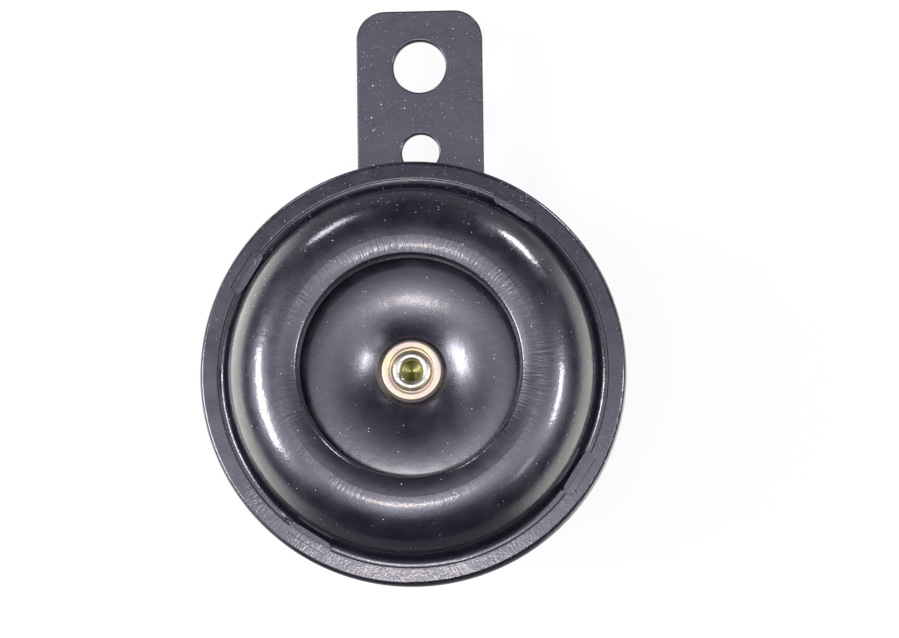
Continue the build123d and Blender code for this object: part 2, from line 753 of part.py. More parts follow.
# Insulating plate of the terminals, with two bosses through the housing.
with BuildPart() as terminal_insulator:
    with BuildSketch(across(insulator_rear)):
        with Locations((0, -terminal_drop)):
            SlotCenterToCenter(terminal_spacing, insulator_width)
    extrude(amount=insulator_sheet)
    with BuildSketch(across(housing_rear)):
        with Locations((0, -terminal_drop)):
            with GridLocations(terminal_spacing, 0, 2, 1):
                Circle(insulator_boss_r)
    extrude(amount=housing_sheet)
    with BuildSketch(across(insulator_rear)):
        with Locations((0, -terminal_drop)):
            with GridLocations(terminal_spacing, 0, 2, 1):
                Circle(terminal_rivet_r)
    extrude(amount=insulator_sheet + housing_sheet, mode=Mode.SUBTRACT)
terminal_insulator.part.label = "terminal_insulator"
export_step(terminal_insulator.part, "parts/terminal_insulator.step")

# Insulating washers under the terminals' rivets, inside the housing.
with BuildPart() as inner_terminal_washers:
    with BuildSketch(across(housing_floor)):
        with Locations((0, -terminal_drop)):
            with GridLocations(terminal_spacing, 0, 2, 1):
                Circle(inner_washer_r)
                Circle(terminal_rivet_r, mode=Mode.SUBTRACT)
    extrude(amount=inner_washer_sheet)
inner_terminal_washers.part.label = "inner_terminal_washers"
export_step(inner_terminal_washers.part, "parts/inner_terminal_washers.step")

# Blade terminals, 6.3 mm wide, and their rivets, one of each on either side.
for side, side_name in ((-1, "left"), (1, "right")):
    terminal_x = side * terminal_spacing / 2
    with BuildPart() as terminal:
        with BuildSketch(across(terminal_rear)):
            with Locations((terminal_x, terminal_above - terminal_drop)):
                Rectangle(terminal_width, terminal_above + terminal_reach, align=(Align.CENTER, Align.MAX))
            with Locations((terminal_x, -terminal_drop)):
                Circle(terminal_rivet_r, mode=Mode.SUBTRACT)
            with Locations((terminal_x, terminal_hole_from_tip - terminal_reach - terminal_drop)):
                Circle(terminal_hole_r, mode=Mode.SUBTRACT)
        extrude(amount=terminal_sheet)
        chamfer(terminal.edges().filter_by(Axis.Y).sort_by(Axis.Z)[:2], terminal_tip_chamfer)
    terminal.part.label = f"{side_name}_terminal"
    export_step(terminal.part, f"parts/{side_name}_terminal.step")

    with BuildPart() as terminal_rivet:
        with BuildSketch(across(terminal_rear)):
            with Locations((terminal_x, -terminal_drop)):
                Circle(terminal_rivet_r)
        extrude(amount=inner_washer_front - terminal_rear)
        for head_level, head in (
            (inner_washer_front, terminal_rivet_head),
            (terminal_rear, -terminal_rivet_head),
        ):
            with BuildSketch(across(head_level)):
                with Locations((terminal_x, -terminal_drop)):
                    Circle(terminal_rivet_head_r)
            extrude(amount=head)
    terminal_rivet.part.label = f"{side_name}_terminal_rivet"
    export_step(terminal_rivet.part, f"parts/{side_name}_terminal_rivet.step")

# Start of the coil: along the winding, then straight onto the left terminal's rivet.
with BuildPart() as coil_start_lead:
    with BuildLine() as start_route:
        wrap = ThreePointArc(
            around(lead_wrap_r, start_lead_angle - lead_wrap, rivet_lead),
            around(lead_wrap_r, start_lead_angle - lead_wrap / 2, rivet_lead),
            around(lead_wrap_r, start_lead_angle, rivet_lead),
        )
        Line(wrap @ 1, (-terminal_spacing / 2, -rivet_lead, -terminal_drop - hole_to_axis))
    with BuildSketch(Plane(origin=start_route.line @ 0, z_dir=start_route.line % 0)):
        Circle(lead_r)
    sweep(path=start_route.line)
coil_start_lead.part.label = "coil_start_lead"
export_step(coil_start_lead.part, "parts/coil_start_lead.step")

# End of the coil: off the winding, through the contact plate and onto the leaf's tab.
with BuildPart() as coil_end_lead:
    with BuildLine() as end_route:
        wrap = ThreePointArc(
            around(lead_wrap_r, end_lead_angle + lead_wrap, winding_lead),
            around(lead_wrap_r, end_lead_angle + lead_wrap / 2, winding_lead),
            around(lead_wrap_r, end_lead_angle, winding_lead),
        )
        FilletPolyline(
            wrap @ 1,
            around(end_lead_hole_r, end_lead_hole_angle, winding_lead),
            around(end_lead_hole_r, end_lead_hole_angle, leaf_lead),
            (leaf_tab_x, -leaf_lead, tab_joint_y - hole_to_axis),
            radius=lead_bend,
        )
    with BuildSketch(Plane(origin=end_route.line @ 0, z_dir=end_route.line % 0)):
        Circle(lead_r)
    sweep(path=end_route.line)
coil_end_lead.part.label = "coil_end_lead"
export_step(coil_end_lead.part, "parts/coil_end_lead.step")

# From the right terminal's rivet, past the left one, to the fixed arm's tab.
with BuildPart() as arm_lead:
    with BuildLine() as arm_route:
        FilletPolyline(
            (terminal_spacing / 2, -rivet_lead, -terminal_drop - hole_to_axis),
            (arm_lead_first_x, -rivet_lead, -lead_drop - hole_to_axis),
            (arm_lead_second_x, -rivet_lead, -lead_drop - hole_to_axis),
            around(arm_lead_hole_r, arm_lead_hole_angle, rivet_lead),
            around(arm_lead_hole_r, arm_lead_hole_angle, arm_lead_level),
            (arm_tab_x, -arm_lead_level, tab_joint_y - hole_to_axis),
            radius=lead_bend,
        )
    with BuildSketch(Plane(origin=arm_route.line @ 0, z_dir=arm_route.line % 0)):
        Circle(lead_r)
    sweep(path=arm_route.line)
arm_lead.part.label = "arm_lead"
export_step(arm_lead.part, "parts/arm_lead.step")

# Strap bracket: flat spring-steel strip between the housing and the nut.
with BuildPart() as mounting_bracket:
    with BuildSketch(across(0)):
        with Locations((0, hole_to_axis + end_to_upper_hole)):
            Rectangle(strap_width, hole_to_axis + end_to_upper_hole, align=(Align.CENTER, Align.MAX))
        Circle(strap_width / 2)
        Circle(stud_hole_r, mode=Mode.SUBTRACT)
        with Locations((0, hole_to_axis)):
            Circle(upper_hole_r, mode=Mode.SUBTRACT)
        with Locations((0, hole_to_axis - hole_spacing)):
            Circle(lower_hole_r, mode=Mode.SUBTRACT)
    extrude(amount=strap_sheet)
    fillet(mounting_bracket.edges().filter_by(Axis.Y).sort_by(Axis.Z)[-2:], strap_corner)
    fillet(mounting_bracket.faces().sort_by(Axis.Y)[0].edges(), strap_edge)
mounting_bracket.part.label = "mounting_bracket"
export_step(mounting_bracket.part, "parts/mounting_bracket.step")

# Plain washer behind the strap.
with BuildPart() as plain_washer:
    with BuildSketch(across(-plain_washer_sheet)):
        Circle(plain_washer_r)
        Circle(stud_hole_r, mode=Mode.SUBTRACT)
    extrude(amount=plain_washer_sheet)
plain_washer.part.label = "plain_washer"
export_step(plain_washer.part, "parts/plain_washer.step")

# Spring washer, squeezed flat, with its split.
with BuildPart() as spring_washer:
    with BuildSketch(across(-plain_washer_sheet - spring_washer_sheet)):
        Circle(spring_washer_r)
        Circle(stud_hole_r, mode=Mode.SUBTRACT)
        with Locations((0, spring_washer_r)):
            Rectangle(spring_washer_gap, spring_washer_r, mode=Mode.SUBTRACT)
    extrude(amount=spring_washer_sheet)
spring_washer.part.label = "spring_washer"
export_step(spring_washer.part, "parts/spring_washer.step")

# Hexagon nut on the stud.
with BuildPart() as hex_nut:
    with BuildSketch(across(nut_rear)):
        RegularPolygon(nut_flats / 2, 6, major_radius=False)
        Circle(stud_r + thread_clearance, mode=Mode.SUBTRACT)
    extrude(amount=nut_height)
    # Turned corners: only what lies inside a double cone is left.
    with BuildSketch(section):
        with BuildLine():
            Polyline(
                (0, nut_rear),
                (nut_flats / 2, nut_rear),
                (nut_corner_r, nut_rear + nut_corner_rise),
                (nut_corner_r, nut_rear + nut_height - nut_corner_rise),
                (nut_flats / 2, nut_rear + nut_height),
                (0, nut_rear + nut_height),
                close=True,
            )
        make_face()
    revolve(axis=horn_axis, mode=Mode.INTERSECT)
hex_nut.part.label = "hex_nut"
export_step(hex_nut.part, "parts/hex_nut.step")
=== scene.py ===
import math

import bpy
from mathutils import Matrix, Vector

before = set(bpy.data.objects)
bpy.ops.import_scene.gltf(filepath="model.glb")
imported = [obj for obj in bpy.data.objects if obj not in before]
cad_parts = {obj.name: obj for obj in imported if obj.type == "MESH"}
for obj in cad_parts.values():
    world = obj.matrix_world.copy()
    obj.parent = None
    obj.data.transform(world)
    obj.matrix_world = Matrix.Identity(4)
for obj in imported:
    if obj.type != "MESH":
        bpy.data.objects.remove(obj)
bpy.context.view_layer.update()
print("frame loaded")

mm = 0.001
axisZ = -52.1 * mm  # height of the horn's own axis
# noise keeps near its middle, so these are the values taken as none and as full
colourContrast = (0.35, 0.65)
glossContrast = (0.3, 0.7)


def linear(hexText):
    # sRGB hex to the linear colour that Blender works in
    values = []
    for start in (1, 3, 5):
        value = int(hexText[start : start + 2], 16) / 255
        values.append(value / 12.92 if value <= 0.04045 else ((value + 0.055) / 1.055) ** 2.4)
    return (*values, 1.0)


def addNode(tree, kind, settings=None, links=None):
    # adds a node, sets its properties, and fills its sockets with links or plain values
    node = tree.nodes.new(kind)
    for key, value in (settings or {}).items():
        setattr(node, key, value)
    for key, value in (links or {}).items():
        if isinstance(value, bpy.types.NodeSocket):
            tree.links.new(value, node.inputs[key])
        else:
            node.inputs[key].default_value = value
    return node


def newMaterial(name):
    material = bpy.data.materials.new(name)
    material.use_nodes = True
    tree = material.node_tree
    tree.nodes.clear()
    return material, tree


def facing(off, turn):
    # the direction that stands off degrees from straight ahead of the horn, turned
    # anticlockwise from the right
    off, turn = math.radians(off), math.radians(turn)
    return Vector((math.sin(off) * math.cos(turn), -math.cos(off), math.sin(off) * math.sin(turn)))


cameraView = {
    "target": (5.34 * mm, -20 * mm, -43.14 * mm),
    "distance": 700 * mm,
    "azimuth": 3.315,  # degrees to the right of straight on
    "elevation": -7.797,  # below the horn's axis
    "roll": -0.75,
    "lens": 182.57,
    "sensor": 36.0,
}


def placeCamera(view):
    azimuth, elevation, roll = (math.radians(view[key]) for key in ("azimuth", "elevation", "roll"))
    away = Vector(
        (
            math.sin(azimuth) * math.cos(elevation),
            -math.cos(azimuth) * math.cos(elevation),
            math.sin(elevation),
        )
    )
    right = (-away).cross(Vector((0, 0, 1))).normalized()
    up = right.cross(-away)
    camera = bpy.data.objects.new("camera", bpy.data.cameras.new("camera"))
    bpy.context.scene.collection.objects.link(camera)
    turnedRight = right * math.cos(roll) + up * math.sin(roll)
    turnedUp = up * math.cos(roll) - right * math.sin(roll)
    axes = Matrix((turnedRight, turnedUp, away)).transposed().to_4x4()
    camera.matrix_world = Matrix.Translation(Vector(view["target"]) + away * view["distance"]) @ axes
    camera.data.sensor_width = view["sensor"]
    camera.data.lens = view["lens"]
    camera.data.clip_start = 10 * mm
    bpy.context.scene.camera = camera


placeCamera(cameraView)
print("camera placed")

# Black stoving enamel sprayed over drawn steel: the eye sees a clear violet-black film with
# crisp, grainy-edged reflections over a softer haze, marks of the drawing punch and of the
# crimping roller that show through, and pale dust that has settled on it.
enamel = {
    "colour": "#15141d",
    "roughness": 0.32,
    "roughnessSpread": 0.1,
    "ior": 1.6,
    "coatRoughness": 0.1,
    "coatIor": 1.5,
    "peelSize": 1.4,  # mm between swells
    "peelDepth": 0.02,  # mm
    "grainSize": 0.3,  # mm, spray droplets that did not flow out
    "grainDepth": 0.013,
    "marks": {
        # spacing and length in mm round and across the form; real draw marks are about half
        # as far apart, these are as coarse as they need to be to show
        "punch": {
            "middle": 19.2,
            "reach": 3.4,
            "spacing": 0.4,
            "length": 3.0,
            "depth": 0.085,
            "towards": 62,
            "least": 0.4,
        },
        "roller": {
            "middle": 31.0,
            "reach": 1.6,
            "spacing": 0.34,
            "length": 0.9,
            "depth": 0.05,
            "towards": 262,
            "least": 0.3,
        },
    },
    "markCore": 0.45,  # share of a band's reach where its marks are at their full depth
    "sideFull": 0.9,  # how squarely a place lies towards the marks' side to have them in full
    "patchSize": 7.0,  # mm between places where the marks are strong and weak
    "patchContrast": (0.4, 0.6),
    "patchLeast": 0.35,
    "lipRadius": 29.7,  # mm from the axis, outside it the crimped lip leans back
    "lipWidth": 3.0,
    "lipLean": 0.105,  # mm for each mm outwards
    "seatRadius": 4.75,  # mm, where the disc's seat turns up into its wall
    "seatWidth": 0.45,
    "seatLean": 0.55,
    "glossCloud": 3.5,  # mm between duller and glossier places
    "dust": "#d5d3de",
    "dustLayers": [
        # cell, largest radius in mm, and the share of cells that hold a speck
        {"cell": 0.42, "size": 0.068, "share": 0.45},
        {"cell": 1.3, "size": 0.11, "share": 0.3},
    ],
    "speckLeast": 0.3,  # the smallest speck's radius, as a share of the largest
    "speckWaves": 9.0,  # to the mm, they make a speck's edge ragged
    "speckEdge": (0.4, 1.6),  # where the edge lies, as a share of the speck's radius
    "dustClouds": 5.0,  # mm
    "dustContrast": (0.48, 0.7),
    "dustLeast": 0.1,
    "dustElsewhere": 0.6,  # share of the dust away from the top of the rim
    "dustAtTop": 0.9,  # what the top of the rim has besides
    "dustUpper": (0.1, 0.95),  # height on the unit circle, where the top starts and is full
    "dustRim": (22.0, 26.0),  # mm from the axis, where the rim's dust starts and is full
}
# the strap has less dust, the disc a duller film
strapEnamel = dict(enamel, dustElsewhere=0.2)
discEnamel = dict(enamel, coatRoughness=0.2)


def enamelRelief(tree, spec, inMm, radius, roundAxis, worked):
    # the film's relief in mm: peel and grain everywhere, tool marks where the sheet was worked
    layers = []
    for key in ("peel", "grain"):
        waves = addNode(
            tree, "ShaderNodeTexNoise", {}, {"Vector": inMm, "Scale": 1 / spec[key + "Size"], "Detail": 1.5}
        )
        layers.append((waves.outputs["Fac"], spec[key + "Depth"]))
    if worked:
        patches = addNode(
            tree, "ShaderNodeTexNoise", {}, {"Vector": inMm, "Scale": 1 / spec["patchSize"], "Detail": 0.0}
        )
        for mark in spec["marks"].values():
            # a place on a ring round the axis, drawn out across it, so that the streaks have no seam
            circle = mark["middle"] / mark["spacing"] * mark["length"]
            outwards = addNode(tree, "ShaderNodeCombineXYZ", {}, {1: radius}).outputs[0]
            place = addNode(
                tree,
                "ShaderNodeVectorMath",
                {"operation": "MULTIPLY_ADD"},
                {0: roundAxis, 1: (circle, 0, circle), 2: outwards},
            ).outputs[0]
            streaks = addNode(
                tree,
                "ShaderNodeTexNoise",
                {},
                {"Vector": place, "Scale": 1 / mark["length"], "Detail": 2.0, "Roughness": 0.6},
            )
            off = addNode(
                tree, "ShaderNodeMath", {"operation": "SUBTRACT"}, {0: radius, 1: mark["middle"]}
            ).outputs[0]
            off = addNode(tree, "ShaderNodeMath", {"operation": "ABSOLUTE"}, {0: off}).outputs[0]
            within = addNode(
                tree,
                "ShaderNodeMapRange",
                {"interpolation_type": "SMOOTHSTEP"},
                {0: off, 1: mark["reach"] * spec["markCore"], 2: mark["reach"], 3: 1.0, 4: 0.0},
            ).outputs[0]
            patchy = addNode(
                tree,
                "ShaderNodeMapRange",
                {},
                {
                    0: patches.outputs["Fac"],
                    1: spec["patchContrast"][0],
                    2: spec["patchContrast"][1],
                    3: spec["patchLeast"],
                    4: 1.0,
                },
            ).outputs[0]
            side = addNode(
                tree,
                "ShaderNodeVectorMath",
                {"operation": "DOT_PRODUCT"},
                {0: roundAxis, 1: facing(90, mark["towards"])},
            ).outputs["Value"]
            onSide = addNode(
                tree,
                "ShaderNodeMapRange",
                {},
                {0: side, 1: 0.0, 2: spec["sideFull"], 3: mark["least"], 4: 1.0},
            ).outputs[0]
            strength = addNode(
                tree, "ShaderNodeMath", {"operation": "MULTIPLY"}, {0: within, 1: patchy}
            ).outputs[0]
            strength = addNode(
                tree, "ShaderNodeMath", {"operation": "MULTIPLY"}, {0: strength, 1: onSide}
            ).outputs[0]
            streaky = addNode(
                tree, "ShaderNodeMath", {"operation": "MULTIPLY"}, {0: streaks.outputs["Fac"], 1: strength}
            ).outputs[0]
            layers.append((streaky, mark["depth"]))
        lip = addNode(
            tree,
            "ShaderNodeMapRange",
            {},
            {
                0: radius,
                1: spec["lipRadius"],
                2: spec["lipRadius"] + spec["lipWidth"],
                3: 0.0,
                4: -spec["lipWidth"],
            },
        ).outputs[0]
        layers.append((lip, spec["lipLean"]))
        seat = addNode(
            tree,
            "ShaderNodeMapRange",
            {},
            {
                0: radius,
                1: spec["seatRadius"],
                2: spec["seatRadius"] + spec["seatWidth"],
                3: 0.0,
                4: spec["seatWidth"],
            },
        ).outputs[0]
        layers.append((seat, spec["seatLean"]))
    height = 0.0
    for waves, depth in layers:
        height = addNode(
            tree, "ShaderNodeMath", {"operation": "MULTIPLY_ADD"}, {0: waves, 1: depth, 2: height}
        ).outputs[0]
    return height


def enamelDust(tree, spec, inMm, radius, roundAxis):
    # specks of two sizes, thick in some places and thickest in the gap and on the lip at the top
    clouds = addNode(
        tree, "ShaderNodeTexNoise", {}, {"Vector": inMm, "Scale": 1 / spec["dustClouds"], "Detail": 3.0}
    )
    cloudy = addNode(
        tree,
        "ShaderNodeMapRange",
        {},
        {
            0: clouds.outputs["Fac"],
            1: spec["dustContrast"][0],
            2: spec["dustContrast"][1],
            3: spec["dustLeast"],
            4: spec["dustElsewhere"],
        },
    ).outputs[0]
    upper = addNode(tree, "ShaderNodeSeparateXYZ", {}, {0: roundAxis}).outputs[2]
    atTop = addNode(
        tree,
        "ShaderNodeMapRange",
        {},
        {0: upper, 1: spec["dustUpper"][0], 2: spec["dustUpper"][1], 3: 0.0, 4: spec["dustAtTop"]},
    ).outputs[0]
    atRim = addNode(
        tree,
        "ShaderNodeMapRange",
        {"interpolation_type": "SMOOTHSTEP"},
        {0: radius, 1: spec["dustRim"][0], 2: spec["dustRim"][1], 3: 0.0, 4: 1.0},
    ).outputs[0]
    share = addNode(
        tree, "ShaderNodeMath", {"operation": "MULTIPLY_ADD"}, {0: atTop, 1: atRim, 2: cloudy}
    ).outputs[0]
    ragged = addNode(
        tree, "ShaderNodeTexNoise", {}, {"Vector": inMm, "Scale": spec["speckWaves"], "Detail": 1.0}
    ).outputs["Fac"]
    ragged = addNode(
        tree,
        "ShaderNodeMapRange",
        {},
        {0: ragged, 1: 0.2, 2: 0.8, 3: spec["speckEdge"][0], 4: spec["speckEdge"][1]},
    ).outputs[0]
    specks = 0.0
    for layer in spec["dustLayers"]:
        cells = addNode(tree, "ShaderNodeTexVoronoi", {}, {"Vector": inMm, "Scale": 1 / layer["cell"]})
        luck = addNode(tree, "ShaderNodeSeparateColor", {}, {"Color": cells.outputs["Color"]})
        limit = addNode(
            tree, "ShaderNodeMath", {"operation": "MULTIPLY"}, {0: share, 1: layer["share"]}
        ).outputs[0]
        chosen = addNode(
            tree, "ShaderNodeMath", {"operation": "LESS_THAN"}, {0: luck.outputs[0], 1: limit}
        ).outputs[0]
        largest = layer["size"] / layer["cell"]
        size = addNode(
            tree, "ShaderNodeMapRange", {}, {0: luck.outputs[1], 3: spec["speckLeast"] * largest, 4: largest}
        ).outputs[0]
        edge = addNode(tree, "ShaderNodeMath", {"operation": "MULTIPLY"}, {0: size, 1: ragged}).outputs[0]
        near = addNode(
            tree, "ShaderNodeMath", {"operation": "LESS_THAN"}, {0: cells.outputs["Distance"], 1: edge}
        ).outputs[0]
        specks = addNode(
            tree, "ShaderNodeMath", {"operation": "MULTIPLY_ADD"}, {0: near, 1: chosen, 2: specks}
        ).outputs[0]
    return addNode(tree, "ShaderNodeMath", {"operation": "MINIMUM"}, {0: specks, 1: 1.0}).outputs[0]


def placeInMm(tree):
    place = addNode(tree, "ShaderNodeTexCoord").outputs["Object"]
    return addNode(
        tree, "ShaderNodeVectorMath", {"operation": "SCALE"}, {0: place, "Scale": 1 / mm}
    ).outputs[0]


def aroundAxis(tree, inMm):
    # how far from the horn's axis, and in which direction
    flat = addNode(
        tree,
        "ShaderNodeVectorMath",
        {"operation": "MULTIPLY_ADD"},
        {0: inMm, 1: (1, 0, 1), 2: (0, 0, -axisZ / mm)},
    ).outputs[0]
    radius = addNode(tree, "ShaderNodeVectorMath", {"operation": "LENGTH"}, {0: flat}).outputs["Value"]
    roundAxis = addNode(tree, "ShaderNodeVectorMath", {"operation": "NORMALIZE"}, {0: flat}).outputs[0]
    return radius, roundAxis


def makeEnamel(name, spec, worked):
    material, tree = newMaterial(name)
    inMm = placeInMm(tree)
    radius, roundAxis = aroundAxis(tree, inMm)
    height = enamelRelief(tree, spec, inMm, radius, roundAxis, worked)
    relief = addNode(tree, "ShaderNodeBump", {}, {"Height": height, "Distance": mm}).outputs[0]
    specks = enamelDust(tree, spec, inMm, radius, roundAxis)
    colour = addNode(
        tree,
        "ShaderNodeMix",
        {"data_type": "RGBA"},
        {0: specks, 6: linear(spec["colour"]), 7: linear(spec["dust"])},
    ).outputs[2]
    clouds = addNode(
        tree, "ShaderNodeTexNoise", {}, {"Vector": inMm, "Scale": 1 / spec["glossCloud"], "Detail": 3.0}
    ).outputs["Fac"]
    least = spec["roughness"] - spec["roughnessSpread"]
    most = spec["roughness"] + spec["roughnessSpread"]
    gloss = addNode(
        tree,
        "ShaderNodeMapRange",
        {},
        {0: clouds, 1: glossContrast[0], 2: glossContrast[1], 3: least, 4: most},
    ).outputs[0]
    bare = addNode(tree, "ShaderNodeMath", {"operation": "SUBTRACT"}, {0: 1.0, 1: specks}).outputs[0]
    shader = addNode(
        tree,
        "ShaderNodeBsdfPrincipled",
        {},
        {
            "Base Color": colour,
            "Roughness": gloss,
            "IOR": spec["ior"],
            "Normal": relief,
            "Coat Weight": bare,
            "Coat Roughness": spec["coatRoughness"],
            "Coat IOR": spec["coatIor"],
            "Coat Normal": relief,
        },
    )
    addNode(tree, "ShaderNodeOutputMaterial", {}, {"Surface": shader.outputs[0]})
    return material


def dress(material, *nodeNames):
    for nodeName in nodeNames:
        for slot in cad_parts[nodeName].material_slots:
            slot.material = material


dress(makeEnamel("stoveEnamelStrap", strapEnamel, False), "mounting_bracket")
dress(makeEnamel("stoveEnamelDisc", discEnamel, True), "tone_disc")
dress(makeEnamel("stoveEnamel", enamel, True), "housing", "front_cover")
print("enamel done")

# Zinc plate on small turned and cold-headed steel: a soft silver with cloudy patches and a
# fine crystal grain. Yellow chromate on it gives a pale straw film that drifts to pink, and
# the thicker film in the punched end of the rivet is olive.
yellowZinc = {
    "colours": ("#cfc59a", "#ccb8ae"),
    "cloud": 2.6,  # mm
    "roughness": (0.4, 0.58),
    "grain": 0.25,  # mm, real crystals are finer
    "grainDepth": 0.008,
}
brightZinc = {
    "colours": ("#c9ccd2", "#a7abb6"),
    "cloud": 1.1,
    "roughness": (0.24, 0.42),
    "grain": 0.22,
    "grainDepth": 0.008,
}
headedZinc = dict(
    brightZinc,
    colours=("#d0cdbb", "#aeaa96"),
    hollowColour="#8f8b52",
    hollowRadius=1.5,
    hollowEdge=0.25,
    grainDepth=0.02,
)
screwZinc = dict(brightZinc, pitch=0.8, threadDepth=0.2, across=-14.43, level=-45.0)
# Soft iron, turned or blanked from strip: a plain grey with an oily dark bloom.
softIron = {
    "colours": ("#8d8d8f", "#6a6763"),
    "cloud": 3.2,
    "roughness": (0.3, 0.5),
    "grain": 0.4,
    "grainDepth": 0.01,
}
studIron = dict(
    softIron, colours=("#a9abad", "#8b8a86"), pitch=1.0, threadDepth=0.28, across=0.0, level=axisZ / mm
)
# Spring steel, rolled and blued: darker, with the straw and blue of the tempering heat.
springSteel = {
    "colours": ("#6f7480", "#7d7466"),
    "cloud": 9.0,
    "roughness": (0.22, 0.36),
    "grain": 0.5,
    "grainDepth": 0.006,
    "rolled": (1.0, 1.0, 0.05),  # draws the pattern out along the strip
}
# Brass blades, stamped from rolled strip: warm yellow, with browner patches drawn out along it.
brass = {
    "colours": ("#c9a862", "#a58247"),
    "cloud": 3.0,
    "roughness": (0.26, 0.44),
    "grain": 0.3,
    "grainDepth": 0.008,
    "rolled": (1.0, 1.0, 0.08),  # along the blades
}
# Sintered tungsten contacts: matt grey, pitted a little.
tungsten = {
    "colours": ("#8f9094", "#6d6d70"),
    "cloud": 0.8,
    "roughness": (0.4, 0.6),
    "grain": 0.15,
    "grainDepth": 0.014,
}


def drift(tree, waves, colours):
    # goes from one colour to the other and back with the waves
    share = addNode(
        tree,
        "ShaderNodeMapRange",
        {},
        {0: waves, 1: colourContrast[0], 2: colourContrast[1], 3: 0.0, 4: 1.0},
    ).outputs[0]
    return addNode(
        tree,
        "ShaderNodeMix",
        {"data_type": "RGBA"},
        {0: share, 6: linear(colours[0]), 7: linear(colours[1])},
    ).outputs[2]


def makeMetal(name, spec):
    material, tree = newMaterial(name)
    inMm = placeInMm(tree)
    rolled = addNode(
        tree,
        "ShaderNodeVectorMath",
        {"operation": "MULTIPLY"},
        {0: inMm, 1: spec.get("rolled", (1.0, 1.0, 1.0))},
    ).outputs[0]
    clouds = addNode(
        tree, "ShaderNodeTexNoise", {}, {"Vector": rolled, "Scale": 1 / spec["cloud"], "Detail": 3.0}
    ).outputs["Fac"]
    grain = addNode(
        tree, "ShaderNodeTexNoise", {}, {"Vector": rolled, "Scale": 1 / spec["grain"], "Detail": 2.0}
    ).outputs["Fac"]
    colour = drift(tree, clouds, spec["colours"])
    height = addNode(
        tree, "ShaderNodeMath", {"operation": "MULTIPLY"}, {0: grain, 1: spec["grainDepth"]}
    ).outputs[0]
    if "hollowRadius" in spec:
        radius = aroundAxis(tree, inMm)[0]
        inside = addNode(
            tree,
            "ShaderNodeMapRange",
            {"interpolation_type": "SMOOTHSTEP"},
            {
                0: radius,
                1: spec["hollowRadius"],
                2: spec["hollowRadius"] + spec["hollowEdge"],
                3: 1.0,
                4: 0.0,
            },
        ).outputs[0]
        colour = addNode(
            tree,
            "ShaderNodeMix",
            {"data_type": "RGBA"},
            {0: inside, 6: colour, 7: linear(spec["hollowColour"])},
        ).outputs[2]
    if "pitch" in spec:
        # the thread's turns climb by one pitch for each turn round the axis
        flat = addNode(
            tree,
            "ShaderNodeVectorMath",
            {"operation": "SUBTRACT"},
            {0: inMm, 1: (spec["across"], 0, spec["level"])},
        ).outputs[0]
        parts = addNode(tree, "ShaderNodeSeparateXYZ", {}, {0: flat})
        turn = addNode(
            tree, "ShaderNodeMath", {"operation": "ARCTAN2"}, {0: parts.outputs[2], 1: parts.outputs[0]}
        ).outputs[0]
        climb = addNode(
            tree,
            "ShaderNodeMath",
            {"operation": "MULTIPLY_ADD"},
            {0: parts.outputs[1], 1: 2 * math.pi / spec["pitch"], 2: turn},
        ).outputs[0]
        thread = addNode(tree, "ShaderNodeMath", {"operation": "SINE"}, {0: climb}).outputs[0]
        height = addNode(
            tree,
            "ShaderNodeMath",
            {"operation": "MULTIPLY_ADD"},
            {0: thread, 1: spec["threadDepth"] / 2, 2: height},
        ).outputs[0]
    relief = addNode(tree, "ShaderNodeBump", {}, {"Height": height, "Distance": mm}).outputs[0]
    least, most = spec["roughness"]
    rough = addNode(
        tree,
        "ShaderNodeMapRange",
        {},
        {0: clouds, 1: glossContrast[0], 2: glossContrast[1], 3: least, 4: most},
    ).outputs[0]
    shader = addNode(
        tree,
        "ShaderNodeBsdfPrincipled",
        {},
        {"Base Color": colour, "Metallic": 1.0, "Roughness": rough, "Normal": relief},
    )
    addNode(tree, "ShaderNodeOutputMaterial", {}, {"Surface": shader.outputs[0]})
    return material


dress(makeMetal("yellowChromateZinc", yellowZinc), "cup_washer")
dress(makeMetal("headedZinc", headedZinc), "centre_rivet")
dress(makeMetal("threadedZinc", screwZinc), "adjusting_screw")
dress(
    makeMetal("brightZinc", brightZinc),
    "hex_nut",
    "plain_washer",
    "spring_washer",
    "lock_nut",
    "plate_rivets",
)
dress(makeMetal("turnedIronStud", studIron), "pole_core")
dress(
    makeMetal("softIron", softIron),
    "armature",
    "contact_plate",
    "front_diaphragm_washer",
    "rear_diaphragm_washer",
    "spacer_bush",
    "breaker_clamp",
    "breaker_rivets",
)
dress(makeMetal("bluedSpringSteel", springSteel), "diaphragm", "moving_leaf")
dress(
    makeMetal("stampedBrass", brass),
    "left_terminal",
    "right_terminal",
    "left_terminal_rivet",
    "right_terminal_rivet",
    "fixed_arm",
)
dress(makeMetal("sinteredTungsten", tungsten), "moving_contact", "fixed_contact")
print("metals done")

# Pressed boards: the eye sees short fibres in two tones. Gasket board is dry and grey-brown,
# vulcanised fibre a waxy dark red, and laminated phenolic dark brown and the smoothest.
gasketBoard = {
    "colours": ("#7d7466", "#5f584d"),
    "fibre": 0.5,
    "roughness": (0.7, 0.9),
    "depth": 0.02,
    "stretch": (1.0, 1.0, 0.35),
}
redFibre = {
    "colours": ("#7c2f22", "#5d2018"),
    "fibre": 0.7,
    "roughness": (0.42, 0.6),
    "depth": 0.012,
    "stretch": (0.3, 1.0, 1.0),
}
phenolicBoard = {
    "colours": ("#3b2015", "#261610"),
    "fibre": 0.6,
    "roughness": (0.28, 0.42),
    "depth": 0.01,
    "stretch": (1.0, 4.0, 1.0),
}
# Natural nylon, moulded: off-white and slightly waxy, with faint flow clouds.
mouldedNylon = {
    "colours": ("#dad5c5", "#cdc6b2"),
    "fibre": 4.0,
    "roughness": (0.36, 0.5),
    "depth": 0.03,
    "stretch": (1.0, 1.0, 1.0),
}


